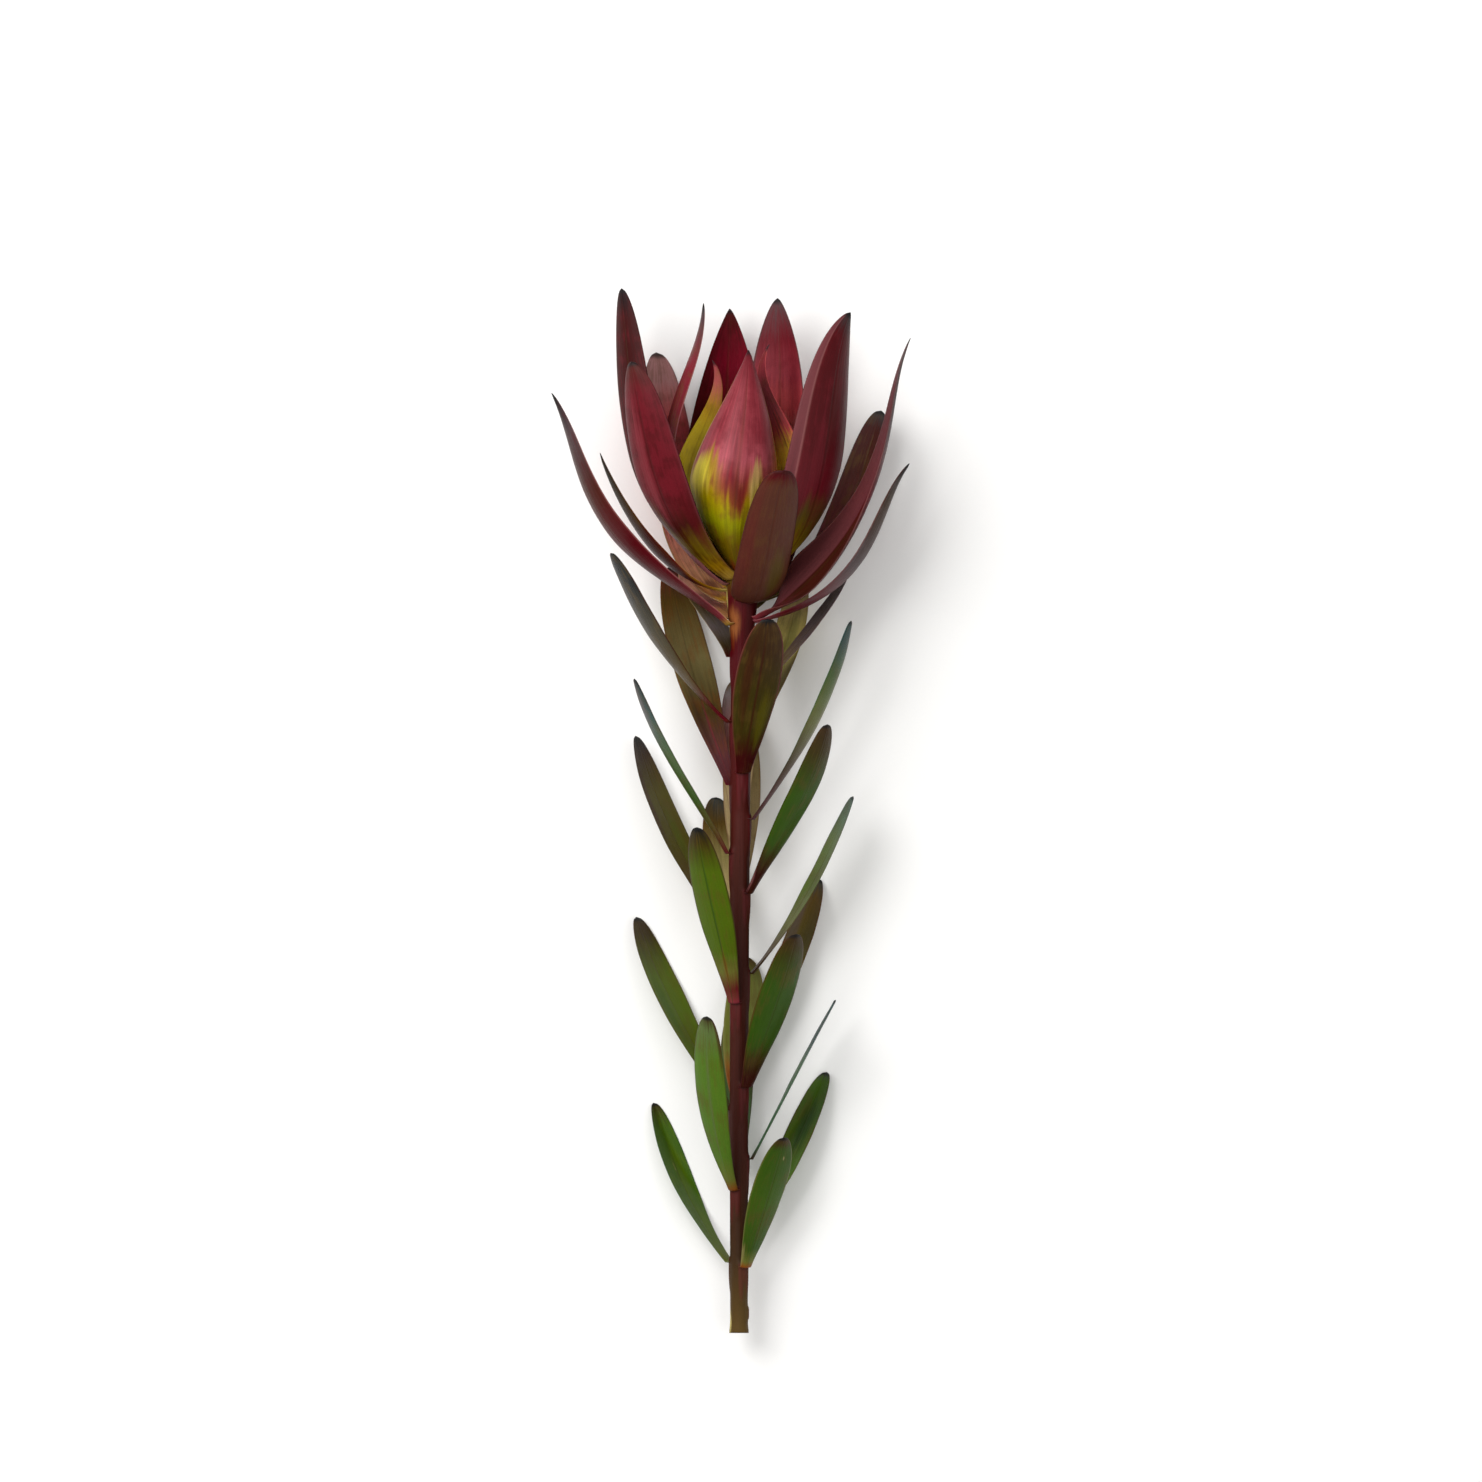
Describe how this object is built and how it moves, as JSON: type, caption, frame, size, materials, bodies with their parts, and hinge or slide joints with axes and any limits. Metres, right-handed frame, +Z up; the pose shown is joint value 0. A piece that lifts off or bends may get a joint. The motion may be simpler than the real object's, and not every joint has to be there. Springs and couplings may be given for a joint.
{
  "type": "leucadendron stem",
  "caption": "Cut leucadendron stem lying on its side: a woody stem, spiralling satin leaves and an open head of crimson bracts round a closed bud.",
  "frame": {"origin": "on the surface that the stem lies on, under the middle of its bounding box", "axes": "+Y runs along the stem from its cut end to the tip of the head, +Z straight up from the surface, and +X to the right when the stem is seen from above with its head away from the viewer"},
  "size_m": [0.1268, 0.3656, 0.0808],
  "materials": {
    "bark": "matte",
    "bud_skin": "satin",
    "leaf_green": "satin",
    "leaf_bronze": "satin",
    "bract_skin": "satin"
  },
  "bodies": {
    "root": {"stem": "bark", "bud": "bud_skin", "leaf_01": "leaf_green", "leaf_02": "leaf_green", "leaf_03": "leaf_green", "leaf_04": "leaf_green", "leaf_05": "leaf_green", "leaf_06": "leaf_green", "leaf_07": "leaf_green", "leaf_08": "leaf_green", "leaf_09": "leaf_green", "leaf_10": "leaf_green", "leaf_11": "leaf_green", "leaf_12": "leaf_green", "leaf_13": "leaf_green", "leaf_14": "leaf_green", "leaf_15": "leaf_bronze", "leaf_16": "leaf_bronze", "leaf_17": "leaf_bronze", "leaf_18": "leaf_bronze", "leaf_19": "leaf_bronze", "leaf_20": "leaf_bronze", "leaf_21": "leaf_bronze", "leaf_22": "leaf_bronze", "leaf_23": "leaf_bronze", "leaf_24": "leaf_bronze", "leaf_25": "leaf_bronze", "bract_low_left": "bract_skin", "bract_low_right": "bract_skin", "bract_low_back": "bract_skin", "bract_long_right": "bract_skin", "bract_under_right": "bract_skin", "bract_front": "bract_skin", "bract_under_left": "bract_skin", "bract_back_right": "bract_skin", "bract_under_middle": "bract_skin", "bract_narrow_left": "bract_skin", "bract_back_left": "bract_skin", "bract_tall_left": "bract_skin", "bract_front_left": "bract_skin", "bract_curled_left": "bract_skin", "bract_broad_right": "bract_skin", "bract_tall_right": "bract_skin", "bract_tall_back": "bract_skin", "bract_bud_right": "bract_skin", "bract_bud_left": "bract_skin", "bract_bud_front": "bract_skin"}
  },
  "joints": []
}
